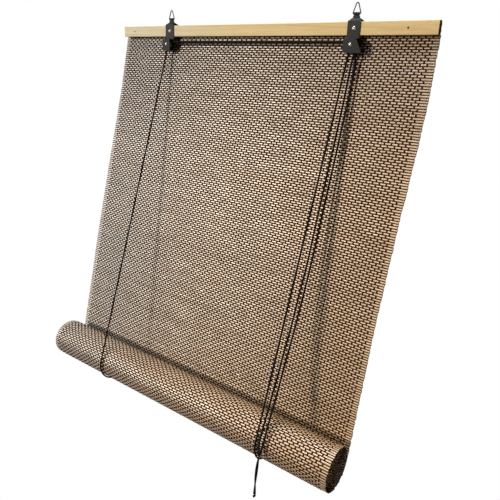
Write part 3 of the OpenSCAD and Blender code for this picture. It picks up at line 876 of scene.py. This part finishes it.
@dataclass
class Studio:
    """The camera, lamps, floor and white surroundings."""

    eye: tuple[float, float, float] = (0.52799, -0.68568, -0.27887)
    right: tuple[float, float, float] = (0.809714, 0.557041, 0.184577)
    up: tuple[float, float, float] = (-0.2207, -0.002373, 0.975339)
    back: tuple[float, float, float] = (0.543742, -0.830481, 0.121018)
    lens: float = 37.1155
    sensor: float = 36.0
    floor_z: float = -2.0
    floor_r: float = 0.9
    floor_sides: int = 96
    ambient: Colour = (0.05, 0.045, 0.04)
    aim: tuple[float, float, float] = (0.0, 0.0, -0.33)
    lamps: tuple = (
        ("front", (-4.7, -6.47, 0.0), 1.0, 545.0, (1.0, 0.95, 0.86), True),
        ("above", (-0.317, -0.871, 2.523), 1.2, 125.0, (0.88, 0.94, 1.0), True),
        ("window", (-1.15, -0.8, -0.3), 0.5, 10.0, (0.15, 0.52, 1.0), False),
        ("behind", (-0.9, 3.2, 0.3), 1.2, 70.0, (1.0, 0.98, 0.94), False),
    )

    def camera(self) -> None:
        """Makes the camera at the photograph's viewing angle."""
        data = bpy.data.cameras.new("camera")
        data.lens, data.sensor_width = self.lens, self.sensor
        data.clip_start, data.clip_end = 0.05, 50.0
        seen = placed("camera", data)
        turned = Matrix((self.right, self.up, self.back)).transposed().to_4x4()
        seen.matrix_world = Matrix.Translation(Vector(self.eye)) @ turned
        bpy.context.scene.camera = seen

    def lamp(self, name: str, place: Sequence, size: float, power: float, colour: Colour, glints: bool) -> None:
        """Makes one soft lamp that points at the blind.

        Args:
            name: Its name.
            place: Where it stands.
            size: The side of its square.
            power: Its power, in watts.
            colour: Its colour.
            glints: Whether glossy faces mirror it.
        """
        data = bpy.data.lights.new(name, "AREA")
        data.size, data.energy, data.color = size, power, colour
        lamp = placed(name, data)
        lamp.visible_glossy = glints
        way = Vector(self.aim) - Vector(place)
        lamp.matrix_world = Matrix.Translation(Vector(place)) @ way.to_track_quat("-Z", "Y").to_matrix().to_4x4()

    def surroundings(self) -> None:
        """Makes the world: white to the camera and in reflections, softer as light."""
        world = bpy.data.worlds.new("surroundings")
        world.use_nodes = True
        bpy.context.scene.world = world
        graph = Graph(world.node_tree)
        path = graph.add("ShaderNodeLightPath").outputs
        seen = graph.math("MAXIMUM", path["Is Camera Ray"], path["Is Transmission Ray"])
        seen = graph.math("MAXIMUM", seen, path["Is Glossy Ray"])
        colour = graph.mix(seen, self.ambient, (1.0, 1.0, 1.0))
        sky = graph.add("ShaderNodeBackground", {0: colour, 1: 1.0})
        graph.add("ShaderNodeOutputWorld", {0: sky.outputs[0]})

    def floor(self) -> None:
        """Makes the pale floor, well below the hanging blind, which fades out towards its rim."""
        turns = np.linspace(0, FULL_TURN, self.floor_sides + 1)[:-1]
        ring = [(self.floor_r * math.cos(a), self.floor_r * math.sin(a), self.floor_z) for a in turns]
        made = bpy.data.materials.new("pale_floor")
        made.use_nodes = True
        graph = Graph(made.node_tree)
        place = graph.coords()["Object"]
        colour = graph.mix(graph.noise(place, 40.0, 3.0), (0.86, 0.86, 0.86), (0.9, 0.9, 0.9))
        x, y, _ = graph.parts(place)
        out = graph.math("SQRT", graph.math("MULTIPLY_ADD", x, x, graph.math("MULTIPLY", y, y)))
        whole = graph.spread(out, 0.4 * self.floor_r, 0.98 * self.floor_r, 1.0, 0.0, way="SMOOTHSTEP")
        shader = graph.add("ShaderNodeBsdfPrincipled", {"Base Color": colour, "Roughness": 0.9, "Alpha": whole})
        graph.add("ShaderNodeOutputMaterial", {0: shader.outputs[0]})
        mesh = plain_mesh("floor", ring, [list(range(len(ring)))])
        mesh.materials.append(made)
        placed("floor", mesh)

    def build(self) -> None:
        """Makes all of it."""
        self.camera()
        self.surroundings()
        self.floor()
        for lamp in self.lamps:
            self.lamp(*lamp)
        bpy.context.scene.view_settings.view_transform = "Standard"
        LOG.info("camera, lamps and floor")


@dataclass
class CordWork:
    """Every cord of the blind: lift cords, the held runs in the pulleys, pull cords, tail and knots."""

    rail: RailFrame
    radius: float = 0.0014
    hanger_x: float = 0.18
    lock_x: float = 0.1812
    loop_left: float = -0.161
    loop_right: float = 0.186
    wheel_cord_r: float = 0.0035
    rear_y: float = -0.0083
    front_y: float = -0.0127
    axle_z: float = -0.022
    wheel_clear: float = 0.0064
    exit_z: float = -0.0342
    outer_exit_x: float = 0.1883
    roll_y: float = -0.0170925
    roll_z: float = -0.643692
    loop_r: float = 0.0369
    loop_pressed: float = 0.0006
    front_angle: float = math.radians(173.907)
    tie_y: float = 0.0213334
    tie_z: float = -0.0367301
    shared_route: tuple = (
        (183.71, 10.3669, -85.0971), (184.54, 9.14102, -131.167), (185.038, 4.8504, -206.03),
        (185.038, 2.39861, -252.1), (185.204, -0.0532, -301.049), (186.034, -4.03733, -364.394),
        (186.2, -8.94091, -410.464), (186.366, -15.9898, -473.81), (187.196, -24.8775, -519.879),
        (189.188, -35.9106, -568.828), (190.848, -43.8789, -594.743), (192.342, -50.9278, -618.929),
        (193.836, -55.8313, -639.66),
    )
    inner_ends: tuple = ((184.7, 9.4531, -67.3482), (184.7, 10.6696, -71.888), (196.5, -56.4925, -651.892))
    outer_ends: tuple = ((188.328, 5.20197, -68.483), (189.658, 6.36868, -72.8373), (199.1, -56.4925, -651.892))
    outer_shift: float = 6.6
    tail_route: tuple = (
        (197.8, -56.4925, -658.492), (197.9, -56.4925, -666.992), (198.2, -56.4925, -675.692),
        (199.05, -56.4925, -687.292), (200.3, -56.4925, -698.892), (201.55, -56.4925, -707.592),
        (202.8, -56.4925, -716.292),
    )
    join_at: tuple = (0.1978, -0.0564925, -0.655192)
    end_at: tuple = (0.2028, -0.0564925, -0.719092)
    join_r: float = 0.0032
    end_r: float = 0.0027
    tie_r: float = 0.0024
    knot_share: float = 0.36
    tail_thick: float = 0.0042
    tail_turn: float = 0.08
    tail_start: float = 0.2
    tail_press: float = 1.08
    fine_sides: int = 10
    travel: float = 0.5
    low_z: float = -0.6
    anchors: dict = field(default_factory=lambda: {"front": -0.061649, "back": -0.03673, "pull": -0.067821})

    @staticmethod
    def dress(node: str, mesh: Mesh, body: Body) -> Piece:
        """Puts a cord or a knot in the place of its CAD solid.

        Args:
            node: The CAD node that it stands for.
            mesh: Its mesh.
            body: The body that it rides on.

        Returns:
            The piece.
        """
        piece = shown(mesh, BRAID)
        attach(piece, body.value)
        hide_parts(node)
        return piece

    def tube(self, node: str, path: Points, body: Body, squash: str = "", part: str = "") -> Piece:
        """Makes one cord in the place of its CAD solid.

        Args:
            node: The CAD node that it stands for.
            path: Its centreline.
            body: The body that it rides on.
            squash: Which run it is, where it shortens as the roll rises.
            part: What its name adds to the node's.

        Returns:
            The cord.
        """
        name = node + part + "_braid"
        mesh = self.twisted(name, path) if node == "pull_tail" else round_tube(name, path, self.radius)
        cord = self.dress(node, mesh, body)
        if squash:
            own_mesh(cord)
        LOG.info("%s, %.0f mm", cord.name, run_length(path) / MILLIMETRE)
        return cord

    def twisted(self, name: str, path: Points) -> Mesh:
        """Two cords twisted together along a path.

        Args:
            name: The mesh's name.
            path: The line that they turn about.

        Returns:
            The mesh.
        """
        steps = np.linspace(0, len(path) - 1, 4 * len(path))
        line = np.stack([np.interp(steps, np.arange(len(path)), path[:, k]) for k in range(3)], axis=1)
        turn = FULL_TURN * (run_so_far(line) / self.tail_turn - self.tail_start)
        out = self.tail_thick / 4
        strands = []
        for start in (0.0, math.pi):
            aside = np.stack([np.cos(turn + start), np.sin(turn + start), np.zeros_like(turn)], axis=1)
            strands.append(round_tube(name, line + out * aside, out * self.tail_press, self.fine_sides))
        return joined(name, strands)

    def knot(self, node: str, centre: Sequence, size: float, body: Body, lean: float) -> Piece:
        """Makes a tight overhand knot in the place of its CAD solid.

        Args:
            node: The CAD node that it stands for.
            centre: Its middle.
            size: Its radius.
            body: The body that it rides on.
            lean: How far it is turned, in radians.

        Returns:
            The knot.
        """
        turn = np.linspace(0, FULL_TURN, 73)[:-1]
        line = np.stack([
            np.sin(turn) + 2 * np.sin(2 * turn), np.cos(turn) - 2 * np.cos(2 * turn), -1.5 * np.sin(3 * turn)
        ], axis=1) / 3
        thick = size * self.knot_share
        c, s = math.cos(lean), math.sin(lean)
        line = line @ np.array(((c, 0, s), (0, 1, 0), (-s, 0, c))) * (size - thick)
        line = np.vstack([line, line[:1]]) + np.asarray(centre)
        return self.dress(node, round_tube(node + "_braid", line, thick, self.fine_sides), body)

    def over_wheel(self, x: float, y: float, start: float, end: float) -> list:
        """Points over a pulley wheel, in its groove.

        Args:
            x: The wheel's place along the headrail.
            y: The groove's depth in the headrail's frame.
            start: First angle, in degrees.
            end: Last angle.

        Returns:
            The points.
        """
        turn = np.radians(np.linspace(start, end, 13))
        r = self.wheel_cord_r
        return [self.rail.place(x + r * math.cos(a), y, self.axle_z + r * math.sin(a)) for a in turn]

    def lift(self, side: Side) -> list:
        """Makes one lift cord: front run, loop under the roll, back run and its knot.

        Args:
            side: Which one.

        Returns:
            The first points of the length round its wheel.
        """
        wheel = -self.hanger_x if side is Side.LEFT else self.lock_x
        x = self.loop_left if side is Side.LEFT else self.loop_right
        top = self.rail.place(wheel - self.wheel_cord_r, self.rear_y, self.axle_z - self.wheel_clear)
        around = np.linspace(self.front_angle, FULL_TURN, 60)
        r = self.loop_r - self.loop_pressed * np.clip(4 - 2 * around / math.pi, 0, 1)
        loop = np.stack([
            np.full_like(around, x), self.roll_y + r * np.cos(around), self.roll_z + r * np.sin(around),
        ], axis=1)
        start = top + (loop[0] - top) / np.linalg.norm(loop[0] - top) * 2 * self.radius
        low = start + (loop[0] - start) * (self.low_z - start[2]) / (loop[0][2] - start[2])
        self.tube(f"lift_front_{side.word}", straight(start, low, 56), Body.HEADRAIL, "front")
        self.tube(f"lift_loop_{side.word}", np.vstack([straight(low, loop[0], 6)[:-1], loop]), Body.SLING)
        knot = np.array((side.value * self.hanger_x, self.tie_y, self.tie_z))
        self.tube(f"lift_back_{side.word}", straight(loop[-1], knot, 60), Body.HEADRAIL, "back")
        self.knot(f"tie_knot_{side.word}", knot, self.tie_r, Body.HEADRAIL, 0.4)
        return [start, top]

    def pull(self) -> None:
        join = self.knot("join_knot", self.join_at, self.join_r, Body.SLING, 1.1)
        end = self.knot("end_knot", self.end_at, self.end_r, Body.SLING, 0.9)
        for node, (first, second, last), shift, knots in (
            ("pull_cord_inner", self.inner_ends, 0.0, [join]),
            ("pull_cord_outer", self.outer_ends, self.outer_shift, []),
        ):
            between = np.array(self.shared_route) + (shift, 0.0, 0.0)
            path = smooth_route(np.vstack([first, second, between, last]) * MILLIMETRE)
            low = int(np.argmax(path[:, 2] <= self.low_z))
            upper = self.tube(node, path[:low + 1], Body.HEADRAIL, "pull")
            self.declare(upper, path[:low + 1], 2 * self.radius, [])
            lower = self.tube(node, path[low:], Body.SLING, part="_low")
            self.declare(lower, path[low:], 2 * self.radius, knots)
        path = smooth_route(np.array(self.tail_route) * MILLIMETRE)
        self.declare(self.tube("pull_tail", path, Body.SLING), path, self.tail_thick, [end])

    @staticmethod
    def declare(cord: Piece, path: Points, thick: float, ends: list) -> None:
        """Takes a cord, its centreline, its thickness and the knots on it, and does nothing with them."""

    def build(self) -> None:
        """Makes them all."""
        self.pull()
        left = self.lift(Side.LEFT)
        right = self.lift(Side.RIGHT)
        across = [*left, *self.over_wheel(-self.hanger_x, self.rear_y, 180, 90)]
        over_lock = self.over_wheel(self.lock_x, self.front_y, 90, 0)
        across += list(straight(across[-1], over_lock[0], 30)[1:-1])
        across += over_lock
        across.append(self.rail.place(self.outer_exit_x, self.front_y, self.exit_z))
        self.tube("transfer_cord", np.array(across), Body.HEADRAIL)
        held = [*right, *self.over_wheel(self.lock_x, self.rear_y, 180, 0)]
        held.append(self.rail.place(self.lock_x + self.wheel_cord_r, self.rear_y, self.exit_z))
        self.tube("lock_cord", np.array(held), Body.HEADRAIL)


@dataclass
class Weave:
    """What the hanging mat and the roll share: slats, and warps that cross on alternate slats."""

    slat_length: float = 0.604
    pitch: float = 0.00373
    slat_height: float = 0.004
    slat_thick: float = 0.0017
    quarter_shares: tuple = ((0.25, 1.0), (0.53, 0.88), (0.68, 0.62), (0.88, 0.26))
    station_shares: tuple = (-0.5, -0.499, 0.499, 0.5)
    split_share: float = 0.53
    shortest: float = 0.9978
    lift: float = 0.00008
    warp_pitch: float = 0.00502
    warp_count: int = 117
    warp_width: float = 0.0023
    warp_thick: float = 0.0005
    warp_sway: float = 0.00018
    warp_seed: int = 5
    grip: float = 0.00115

    def slat(self) -> Piece:
        """One slat along X with a full rounded section, as a pattern for the tree that lays them.

        Returns:
            The pattern, to be removed once the slats are laid.
        """
        quarter = self.quarter_shares
        upper = [*quarter, (1.0, 0.0), *((h, -t) for h, t in reversed(quarter))]
        section = np.array([*upper, *((-h, -t) for h, t in upper)])
        z, y = section[:, 0] * self.slat_height / 2, section[:, 1] * self.slat_thick / 2
        count = len(section)
        stations = np.array(self.station_shares) * self.slat_length
        points = [(x, a, b) for x in stations for a, b in zip(y, z)]
        faces = []
        for i in range(len(stations) - 1):
            for k in range(count):
                n = (k + 1) % count
                faces.append((i * count + k, (i + 1) * count + k, (i + 1) * count + n, i * count + n))
        faces.append(tuple(range(count)))
        faces.append(tuple((len(stations) - 1) * count + k for k in reversed(range(count))))
        mesh = plain_mesh("slat_pattern", points, faces)
        smooth = np.ones(len(faces), bool)
        smooth[-2:] = False
        mesh.polygons.foreach_set("use_smooth", smooth)
        flip_outwards(mesh)
        heights = [abs(np.mean([section[k % count][0] for k in face])) for face in faces]
        split = np.array(heights) > self.split_share
        split[-2:] = True
        layer = mesh.attributes.new("split", "BOOLEAN", "FACE")
        layer.data.foreach_set("value", split)
        layer = mesh.attributes.new("across", "FLOAT", "POINT")
        layer.data.foreach_set("value", np.tile(z / (self.slat_height / 2), len(stations)).astype(np.float32))
        return placed("slat_pattern", mesh)

    def lay_slats(self, name: str, centres: Points, turns: Points, seed: int,
                  aside: Points | None = None) -> Piece:
        """Lays slats on their centres.

        Args:
            name: The piece's name.
            centres: The slats' middles, as (y, z).
            turns: How far each is turned about X, in radians.
            seed: Seed of their small differences.
            aside: How far each has slid along X.

        Returns:
            The slats as one piece.
        """
        slid = np.zeros(len(centres)) if aside is None else aside
        mesh = plain_mesh(name + "_places", [(x, y, z) for x, (y, z) in zip(slid, centres)], [])
        layer = mesh.attributes.new("turn", "FLOAT", "POINT")
        layer.data.foreach_set("value", np.asarray(turns, np.float32))
        pattern = self.slat()
        values = {
            "Slat": pattern, "Finish": BAMBOO.material(), "Sides": SPLIT.material(),
            "Shortest": self.shortest, "Lift": self.lift, "Seed": seed,
        }
        piece = Repeats.run(name, mesh, Repeats.slat_layer(), values)
        bpy.data.objects.remove(pattern)
        return piece

    def lay_warps(self, name: str, centres: Points, ways: Points, first: int, odd: int) -> Piece:
        """Weaves every second warp through a run of slats.

        Args:
            name: The piece's name.
            centres: The slats' middles, as (y, z), down the mat.
            ways: The direction down the mat at each.
            first: The number of the first slat in the whole blind.
            odd: 0 for the even warps, 1 for the odd ones.

        Returns:
            The warps as one piece.
        """
        out = (self.slat_thick + self.warp_thick) / 2
        half_x, half_t = self.warp_width / 2, self.warp_thick / 2
        middles = []
        for i, (centre, way) in enumerate(zip(np.asarray(centres), np.asarray(ways))):
            front = np.array((way[1], -way[0]))
            side = 1 if (first + i + odd) % 2 == 0 else -1
            for step in (-self.grip, self.grip):
                middles.append(centre + way * step + front * side * out)
        middles = np.array(middles)
        slopes = np.gradient(middles, axis=0)
        across = np.stack([slopes[:, 1], -slopes[:, 0]], axis=1)
        across /= np.linalg.norm(across, axis=1)[:, None]
        points = []
        for middle, lean in zip(middles, across):
            for x, t in ((-half_x, 1), (half_x, 1), (half_x, -1), (-half_x, -1)):
                points.append((x, *(middle + lean * t * half_t)))
        faces = []
        for i in range(len(middles) - 1):
            for k in range(4):
                n = (k + 1) % 4
                faces.append((4 * i + k, 4 * i + n, 4 * i + 4 + n, 4 * i + 4 + k))
        last = 4 * (len(middles) - 1)
        faces += [(3, 2, 1, 0), (last, last + 1, last + 2, last + 3)]
        mesh = plain_mesh(name + "_one", points, faces)
        flip_outwards(mesh)
        half = self.warp_count // 2
        values = {
            "Finish": WARP.material(), "Count": half + (0 if odd else 1), "Spacing": 2 * self.warp_pitch,
            "First": -self.warp_pitch * half + odd * self.warp_pitch, "Sway": self.warp_sway,
            "Seed": self.warp_seed + odd,
        }
        return Repeats.run(name, mesh, Repeats.warp_row(), values)

    def lay(self, name: str, places: tuple, seed: int, first: int, woven: int | None = None,
            aside: Points | None = None) -> list:
        """Lays a run of slats and weaves its even and odd warps.

        Args:
            name: What the pieces' names start with.
            places: The slats' middles, their turns and the direction down the mat at each.
            seed: Seed of the slats' small differences.
            first: The number of the first slat in the whole blind.
            woven: How many of the slats have warps, or all.
            aside: How far each slat has slid along X.

        Returns:
            The three pieces.
        """
        centres, turns, ways = places
        pieces = [self.lay_slats(name + "_slats", centres, turns, seed, aside)]
        for odd, word in enumerate(("even", "odd")):
            pieces.append(self.lay_warps(f"{name}_warps_{word}", centres[:woven], ways[:woven], first, odd))
        return pieces

    @staticmethod
    def dress(piece: Piece, node: str, body: Body) -> None:
        """Puts a woven piece in the place of its CAD solid.

        Args:
            piece: The piece.
            node: The CAD node that it stands for.
            body: The body that it rides on.
        """
        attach(piece, body.value)
        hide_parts(node)
        LOG.info("%s, %d faces", piece.name, len(piece.data.polygons))


@dataclass
class HangingMat:
    """The mat from the headrail down to the roll, with its top slats clamped behind the headrail."""

    weave: Weave
    rail: RailFrame
    bend_y: float = 0.0170075
    bend_z: float = -0.0391315
    rail_slats: int = 4
    clamped_length: float = 0.6004
    hang_slats: int = 162
    hang_seed: int = 11
    clamped_seed: int = 29
    keep: float = 0.1725
    slid_at: tuple = (0.0, 0.035, 0.09, 0.17, 0.24, 0.31, 0.38, 0.45, 0.52, 0.6)
    slid_by: tuple = (-0.0012, -0.0002, 0.0018, 0.001, -0.001, -0.0016, -0.0022, -0.0018, -0.0008, 0.0)

    def build(self) -> None:
        """Makes the slats and warps of the hanging part and of the clamped part."""
        w = self.weave
        down = (np.arange(self.hang_slats) + 0.5) * w.pitch
        hang = np.stack([np.full_like(down, self.bend_y), self.bend_z - down], axis=1)
        slid = np.interp(down, self.slid_at, self.slid_by)
        places = hang, np.zeros(self.hang_slats), np.tile((0.0, -1.0), (self.hang_slats, 1))
        for piece in w.lay("mat", places, self.hang_seed, 0, aside=slid):
            w.dress(piece, "mat", Body.HEADRAIL)
            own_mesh(piece)
        rise = (np.arange(self.rail_slats)[::-1] + 0.5) * w.pitch
        s, c = math.sin(self.rail.tilt), math.cos(self.rail.tilt)
        top = np.stack([self.bend_y - s * rise, self.bend_z + c * rise], axis=1)
        places = top, np.full(self.rail_slats, self.rail.tilt), np.tile((s, -c), (self.rail_slats, 1))
        short = replace(w, slat_length=self.clamped_length)
        for piece in short.lay("clamped", places, self.clamped_seed, -self.rail_slats):
            w.dress(piece, "mat", Body.HEADRAIL)


@dataclass
class RolledMat:
    """The rest of the mat, rolled up forwards round its rod."""

    weave: Weave
    centre_y: float = -0.0170925
    centre_z: float = -0.643692
    first_r: float = 0.0341
    turn_pitch: float = 0.0034
    slats: int = 269
    first_slat: int = 162
    woven_slats: int = 66
    seed: int = 41

    def build(self) -> None:
        """Makes every slat of the spiral, and the warps of its outer turn."""
        w = self.weave
        run = (np.arange(self.slats) + 0.5) * w.pitch
        inside = np.maximum(self.first_r**2 - self.turn_pitch * run / math.pi, 0)
        turn = FULL_TURN / self.turn_pitch * (self.first_r - np.sqrt(inside))
        r = self.first_r - self.turn_pitch * turn / FULL_TURN
        centres = np.stack([self.centre_y + r * np.cos(turn), self.centre_z - r * np.sin(turn)], axis=1)
        ways = np.stack([-np.sin(turn), -np.cos(turn)], axis=1)
        for piece in w.lay("roll", (centres, -turn, ways), self.seed, self.first_slat, self.woven_slats):
            w.dress(piece, "roll", Body.ROLL)


@dataclass
class Hardware:
    """The solids that keep their CAD shape: headrail, hangers, rings, pulleys, lock and rod."""

    finishes: dict = field(default_factory=lambda: {
        "headrail_batten": PINE, "rail_nails": NAIL, "hanger_left": CHARCOAL, "hanger_right": CHARCOAL,
        "hanger_screws": BRIGHT, "ring_left": WIRE, "ring_right": WIRE, "pulley_cover": CHARCOAL,
        "lock_cover": CHARCOAL, "pulley_wheel": WHEEL, "lock_wheel": WHEEL, "pulley_rivet": BRIGHT,
        "lock_rivet": BRIGHT, "lock_pin": BRIGHT, "lock_cam": CAM, "bottom_rod": ROD,
    })

    def dress(self) -> None:
        """Gives each solid its finish."""
        for node, finish in self.finishes.items():
            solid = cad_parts[node]
            if not solid.material_slots:
                solid.data.materials.append(None)
            for slot in solid.material_slots:
                slot.material = finish.material()
            LOG.info("%s in %s", node, finish.name)


def main() -> None:
    """Builds the blind's looks in order."""
    logging.basicConfig(level=logging.INFO, format="%(name)s: %(message)s")
    rail = RailFrame()
    weave = Weave()
    Studio().build()
    CordWork(rail).build()
    Hardware().dress()
    HangingMat(weave, rail).build()
    RolledMat(weave).build()


if __name__ == "__main__":
    main()
